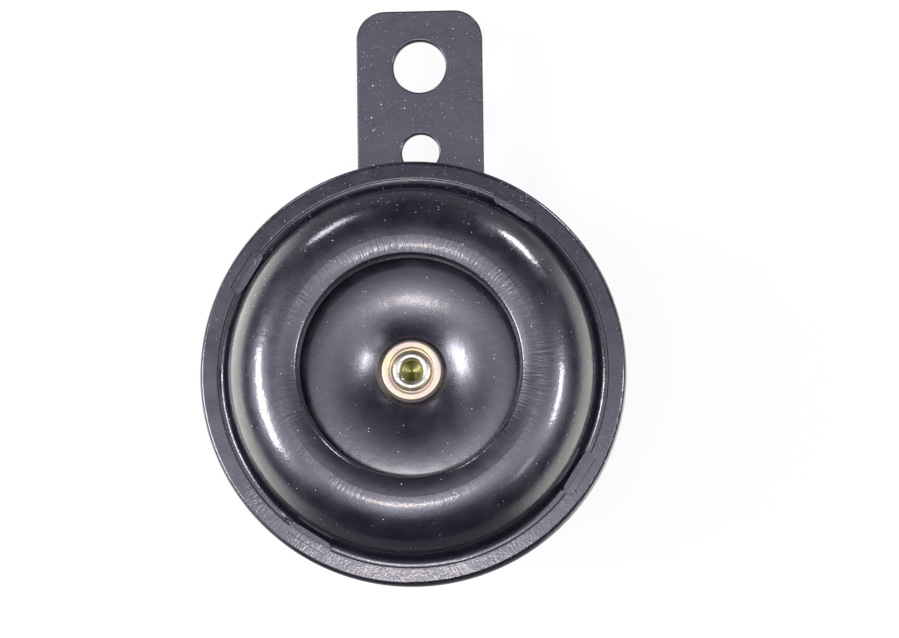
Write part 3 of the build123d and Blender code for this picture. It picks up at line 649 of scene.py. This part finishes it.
def makeBoard(name, spec):
    material, tree = newMaterial(name)
    inMm = placeInMm(tree)
    stretched = addNode(
        tree, "ShaderNodeVectorMath", {"operation": "MULTIPLY"}, {0: inMm, 1: spec["stretch"]}
    ).outputs[0]
    fibres = addNode(
        tree,
        "ShaderNodeTexNoise",
        {},
        {"Vector": stretched, "Scale": 1 / spec["fibre"], "Detail": 4.0, "Roughness": 0.6},
    ).outputs["Fac"]
    colour = drift(tree, fibres, spec["colours"])
    height = addNode(
        tree, "ShaderNodeMath", {"operation": "MULTIPLY"}, {0: fibres, 1: spec["depth"]}
    ).outputs[0]
    relief = addNode(tree, "ShaderNodeBump", {}, {"Height": height, "Distance": mm}).outputs[0]
    least, most = spec["roughness"]
    rough = addNode(
        tree,
        "ShaderNodeMapRange",
        {},
        {0: fibres, 1: glossContrast[0], 2: glossContrast[1], 3: least, 4: most},
    ).outputs[0]
    shader = addNode(
        tree, "ShaderNodeBsdfPrincipled", {}, {"Base Color": colour, "Roughness": rough, "Normal": relief}
    )
    addNode(tree, "ShaderNodeOutputMaterial", {}, {"Surface": shader.outputs[0]})
    return material


dress(makeBoard("gasketBoard", gasketBoard), "front_gasket", "rear_gasket")
dress(
    makeBoard("vulcanisedFibre", redFibre),
    "lower_insulator",
    "middle_insulator",
    "upper_insulator",
    "breaker_sleeves",
    "inner_terminal_washers",
)
dress(makeBoard("laminatedPhenolic", phenolicBoard), "terminal_insulator")
dress(makeBoard("mouldedNylon", mouldedNylon), "coil_bobbin")

# Enamelled copper wire: red-brown metal under a clear varnish, laid turn by turn.
copper = {
    "colours": ("#a4542a", "#7c381c"),
    "cloud": 2.2,  # mm
    "roughness": 0.3,
    "coatRoughness": 0.12,
    "turn": 0.5,  # mm between turns, the real wire is a little thinner
    "turnDepth": 0.16,
    "waveDepth": 0.02,  # unevenness of the varnish
}


def makeCopper(name, spec, wound):
    material, tree = newMaterial(name)
    inMm = placeInMm(tree)
    clouds = addNode(
        tree, "ShaderNodeTexNoise", {}, {"Vector": inMm, "Scale": 1 / spec["cloud"], "Detail": 3.0}
    ).outputs["Fac"]
    colour = drift(tree, clouds, spec["colours"])
    height = addNode(
        tree, "ShaderNodeMath", {"operation": "MULTIPLY"}, {0: clouds, 1: spec["waveDepth"]}
    ).outputs[0]
    if wound:
        level = addNode(tree, "ShaderNodeSeparateXYZ", {}, {0: inMm}).outputs[1]
        phase = addNode(
            tree, "ShaderNodeMath", {"operation": "MULTIPLY"}, {0: level, 1: math.pi / spec["turn"]}
        ).outputs[0]
        turns = addNode(tree, "ShaderNodeMath", {"operation": "SINE"}, {0: phase}).outputs[0]
        turns = addNode(tree, "ShaderNodeMath", {"operation": "ABSOLUTE"}, {0: turns}).outputs[0]
        height = addNode(
            tree,
            "ShaderNodeMath",
            {"operation": "MULTIPLY_ADD"},
            {0: turns, 1: spec["turnDepth"], 2: height},
        ).outputs[0]
    relief = addNode(tree, "ShaderNodeBump", {}, {"Height": height, "Distance": mm}).outputs[0]
    shader = addNode(
        tree,
        "ShaderNodeBsdfPrincipled",
        {},
        {
            "Base Color": colour,
            "Metallic": 1.0,
            "Roughness": spec["roughness"],
            "Normal": relief,
            "Coat Weight": 1.0,
            "Coat Roughness": spec["coatRoughness"],
            "Coat Normal": relief,
        },
    )
    addNode(tree, "ShaderNodeOutputMaterial", {}, {"Surface": shader.outputs[0]})
    return material


dress(makeCopper("woundCopper", copper, True), "coil_winding")
dress(makeCopper("copperLead", copper, False), "coil_start_lead", "coil_end_lead", "arm_lead")
print("insulation and wire done")

# White card that the horn lies on, stood upright behind it. The light it carries is painted: a glow that
# stands in for the lamps' light to the left and right of the horn and falls away to painted shade above and
# below, while the camera sees the card plain white.
table = {
    "level": 10.2 * mm,  # behind the end of the stud
    "size": 3.0,
    "shadowShare": 0.12,
    "near": 26 * mm,  # from the horn's axis to where the lit part starts
    "lit": 75 * mm,
    "glowLeft": 2.9,
    "glowRight": 2.35,
    "glowMiddle": 0.5,
    "leftRise": 0.1,  # the lit part's middle rises this much for each step to the left
    "rightRise": -0.25,
    "narrow": 0.1,  # rise for each step aside where the light starts to fall off
    "wide": 1.5,
    "shade": 0.03,
    "tint": "#fbfcf4",
    "card": (0.9, 0.9, 0.9, 1),  # the part of it that only takes the shadow
}


def makeTable(spec):
    half = spec["size"] / 2
    level = spec["level"]
    corners = [(-half, level, -half), (half, level, -half), (half, level, half), (-half, level, half)]
    mesh = bpy.data.meshes.new("table")
    mesh.from_pydata(corners, [], [(0, 1, 2, 3)])
    board = bpy.data.objects.new("table", mesh)
    bpy.context.scene.collection.objects.link(board)
    material, tree = newMaterial("whiteCard")
    path = addNode(tree, "ShaderNodeLightPath")
    geometry = addNode(tree, "ShaderNodeNewGeometry")
    parts = addNode(tree, "ShaderNodeSeparateXYZ", {}, {0: geometry.outputs["Position"]})
    # painted light: a glow that no lamp casts, brighter to the left and right of the horn
    glow = spec["glowMiddle"]
    for side, key in ((-1, "glowLeft"), (1, "glowRight")):
        lit = addNode(
            tree,
            "ShaderNodeMapRange",
            {"interpolation_type": "SMOOTHSTEP"},
            {
                0: parts.outputs[0],
                1: side * spec["near"],
                2: side * spec["lit"],
                3: 0.0,
                4: spec[key] - spec["glowMiddle"],
            },
        ).outputs[0]
        glow = addNode(tree, "ShaderNodeMath", {"operation": "ADD"}, {0: lit, 1: glow}).outputs[0]
    # the painted glow widens with the distance to the side, as a lamp's spread does, and fades to painted
    # shade above and below
    aside = addNode(tree, "ShaderNodeMath", {"operation": "ABSOLUTE"}, {0: parts.outputs[0]}).outputs[0]
    rise = addNode(
        tree,
        "ShaderNodeMapRange",
        {},
        {0: parts.outputs[0], 1: -mm, 2: mm, 3: spec["leftRise"], 4: spec["rightRise"]},
    ).outputs[0]
    fromAxis = addNode(
        tree, "ShaderNodeMath", {"operation": "SUBTRACT"}, {0: parts.outputs[2], 1: axisZ}
    ).outputs[0]
    steep = addNode(tree, "ShaderNodeMath", {"operation": "DIVIDE"}, {0: fromAxis, 1: aside}).outputs[0]
    steep = addNode(tree, "ShaderNodeMath", {"operation": "SUBTRACT"}, {0: steep, 1: rise}).outputs[0]
    steep = addNode(tree, "ShaderNodeMath", {"operation": "ABSOLUTE"}, {0: steep}).outputs[0]
    within = addNode(
        tree,
        "ShaderNodeMapRange",
        {"interpolation_type": "SMOOTHSTEP"},
        {0: steep, 1: spec["narrow"], 2: spec["wide"], 3: 1.0, 4: spec["shade"]},
    ).outputs[0]
    lit = addNode(tree, "ShaderNodeMath", {"operation": "MULTIPLY"}, {0: glow, 1: within}).outputs[0]
    # only the camera and glass see the card plain white, every other ray sees the painted glow
    seen = addNode(
        tree,
        "ShaderNodeMath",
        {"operation": "MAXIMUM"},
        {0: path.outputs["Is Camera Ray"], 1: path.outputs["Is Transmission Ray"]},
    ).outputs[0]
    strength = addNode(tree, "ShaderNodeMix", {"data_type": "FLOAT"}, {0: seen, 2: lit, 3: 1.0}).outputs[0]
    colour = addNode(
        tree, "ShaderNodeMix", {"data_type": "RGBA"}, {0: seen, 6: linear(spec["tint"]), 7: (1, 1, 1, 1)}
    ).outputs[2]
    light = addNode(tree, "ShaderNodeEmission", {}, {"Color": colour, "Strength": strength}).outputs[0]
    card = addNode(tree, "ShaderNodeBsdfDiffuse", {}, {"Color": spec["card"]}).outputs[0]
    front = addNode(tree, "ShaderNodeMixShader", {}, {0: spec["shadowShare"], 1: light, 2: card}).outputs[0]
    clear = addNode(tree, "ShaderNodeBsdfTransparent").outputs[0]
    behind = addNode(
        tree,
        "ShaderNodeMath",
        {"operation": "MAXIMUM"},
        {0: geometry.outputs["Backfacing"], 1: path.outputs["Is Shadow Ray"]},
    ).outputs[0]
    whole = addNode(tree, "ShaderNodeMixShader", {}, {0: behind, 1: front, 2: clear}).outputs[0]
    addNode(tree, "ShaderNodeOutputMaterial", {}, {"Surface": whole})
    board.data.materials.append(material)


makeTable(table)

# Softboxes a metre from the horn: degrees off straight ahead and round from the right,
# size in degrees as the horn sees them, and brightness.
lamps = {
    "leftSoftbox": {"off": 46, "round": 182, "width": 11, "height": 26, "bright": 26},
    "rightSoftbox": {"off": 42, "round": 358, "width": 7, "height": 15, "bright": 26},
    "rightLowBox": {"off": 42, "round": 322, "width": 8, "height": 8, "bright": 4.5},
    "lowSoftbox": {"off": 14, "round": 250, "width": 14, "height": 6, "bright": 14, "colour": "#fff1e2"},
    "upperLeftStrip": {"off": 73, "round": 119, "width": 8, "height": 13, "bright": 13},
    "upperRightStrip": {"off": 74, "round": 55, "width": 7, "height": 14, "bright": 34},
    "backLeftBox": {"off": 145, "round": 150, "width": 40, "height": 40, "bright": 5},
    "backRightBox": {"off": 145, "round": 20, "width": 40, "height": 40, "bright": 4},
}
lampDistance = 1.0
lampAim = Vector((0, -30 * mm, axisZ))  # near the middle of the disc's front
lampColour = "#f4f4ff"


def placeLamp(name, spec):
    away = facing(spec["off"], spec["round"])
    data = bpy.data.lights.new(name, "AREA")
    data.shape = "RECTANGLE"
    data.size = 2 * lampDistance * math.tan(math.radians(spec["width"] / 2))
    data.size_y = 2 * lampDistance * math.tan(math.radians(spec["height"] / 2))
    data.energy = spec["bright"] * math.pi * data.size * data.size_y
    data.color = linear(spec.get("colour", lampColour))[:3]
    lamp = bpy.data.objects.new(name, data)
    bpy.context.scene.collection.objects.link(lamp)
    lamp.location = lampAim + away * lampDistance
    lamp.rotation_euler = away.to_track_quat("Z", "Y").to_euler()
    lamp.visible_camera = False


for name, spec in lamps.items():
    placeLamp(name, spec)

# The room round the horn: a low even level, and soft light from the diffusers, each a
# smooth patch with its own direction, spread in degrees and brightness.
room = {
    "level": 0.035,
    "tint": "#e9e8ff",
    "patches": {
        "frontScreen": {"off": 3, "round": 270, "wide": 15, "bright": 1.8},
        "lowScreen": {"off": 11, "round": 250, "wide": 7, "bright": 3.2},
        "lowBounce": {"off": 23, "round": 252, "wide": 8, "bright": 2.8},
        "leftHalo": {"off": 45, "round": 182, "wide": 13, "bright": 3.6},
        "rightHalo": {"off": 41, "round": 350, "wide": 12, "bright": 2.8},
        "rightLow": {"off": 23, "round": 325, "wide": 7, "bright": 1.2},
    },
    "horizon": 1.4,  # where the card curls up at the sides
    "horizonFrom": -0.2,  # in front of the card's plane, on the unit sphere
    "sidesOnly": (0.4, 0.95),  # height on it where that light starts to end, and is gone
    "behindFrom": 0.05,  # behind that plane, from where metal sees plain white
}


def makeRoom(spec):
    world = bpy.data.worlds.new("room")
    world.use_nodes = True
    tree = world.node_tree
    tree.nodes.clear()
    direction = addNode(tree, "ShaderNodeTexCoord").outputs["Generated"]
    total = spec["level"]
    for patch in spec["patches"].values():
        towards = facing(patch["off"], patch["round"])
        along = addNode(
            tree, "ShaderNodeVectorMath", {"operation": "DOT_PRODUCT"}, {0: direction, 1: towards}
        ).outputs["Value"]
        sharp = 0.5 / (1 - math.cos(math.radians(patch["wide"])))
        fall = addNode(
            tree, "ShaderNodeMath", {"operation": "MULTIPLY_ADD"}, {0: along, 1: sharp, 2: -sharp}
        ).outputs[0]
        fall = addNode(tree, "ShaderNodeMath", {"operation": "EXPONENT"}, {0: fall}).outputs[0]
        total = addNode(
            tree, "ShaderNodeMath", {"operation": "MULTIPLY_ADD"}, {0: fall, 1: patch["bright"], 2: total}
        ).outputs[0]
    parts = addNode(tree, "ShaderNodeSeparateXYZ", {}, {0: direction})
    low = addNode(
        tree,
        "ShaderNodeMapRange",
        {"interpolation_type": "SMOOTHSTEP"},
        {0: parts.outputs[1], 1: spec["horizonFrom"], 2: 0.0, 3: 0.0, 4: spec["horizon"]},
    ).outputs[0]
    aside = addNode(tree, "ShaderNodeMath", {"operation": "ABSOLUTE"}, {0: parts.outputs[2]}).outputs[0]
    aside = addNode(
        tree,
        "ShaderNodeMapRange",
        {"interpolation_type": "SMOOTHSTEP"},
        {0: aside, 1: spec["sidesOnly"][0], 2: spec["sidesOnly"][1], 3: 1.0, 4: 0.0},
    ).outputs[0]
    total = addNode(
        tree, "ShaderNodeMath", {"operation": "MULTIPLY_ADD"}, {0: low, 1: aside, 2: total}
    ).outputs[0]
    # the camera, glass, and metal that looks back past the card all see plain white
    path = addNode(tree, "ShaderNodeLightPath")
    back = addNode(
        tree, "ShaderNodeMath", {"operation": "GREATER_THAN"}, {0: parts.outputs[1], 1: spec["behindFrom"]}
    ).outputs[0]
    metal = addNode(
        tree, "ShaderNodeMath", {"operation": "MULTIPLY"}, {0: path.outputs["Is Glossy Ray"], 1: back}
    ).outputs[0]
    seen = addNode(
        tree,
        "ShaderNodeMath",
        {"operation": "MAXIMUM"},
        {0: path.outputs["Is Camera Ray"], 1: path.outputs["Is Transmission Ray"]},
    ).outputs[0]
    seen = addNode(tree, "ShaderNodeMath", {"operation": "MAXIMUM"}, {0: seen, 1: metal}).outputs[0]
    strength = addNode(tree, "ShaderNodeMix", {"data_type": "FLOAT"}, {0: seen, 2: total, 3: 1.0}).outputs[0]
    colour = addNode(
        tree, "ShaderNodeMix", {"data_type": "RGBA"}, {0: seen, 6: linear(spec["tint"]), 7: (1, 1, 1, 1)}
    ).outputs[2]
    background = addNode(
        tree, "ShaderNodeBackground", {}, {"Color": colour, "Strength": strength}
    ).outputs[0]
    addNode(tree, "ShaderNodeOutputWorld", {}, {"Surface": background})
    bpy.context.scene.world = world


makeRoom(room)
bpy.context.scene.view_settings.view_transform = "Standard"
print("lights done")
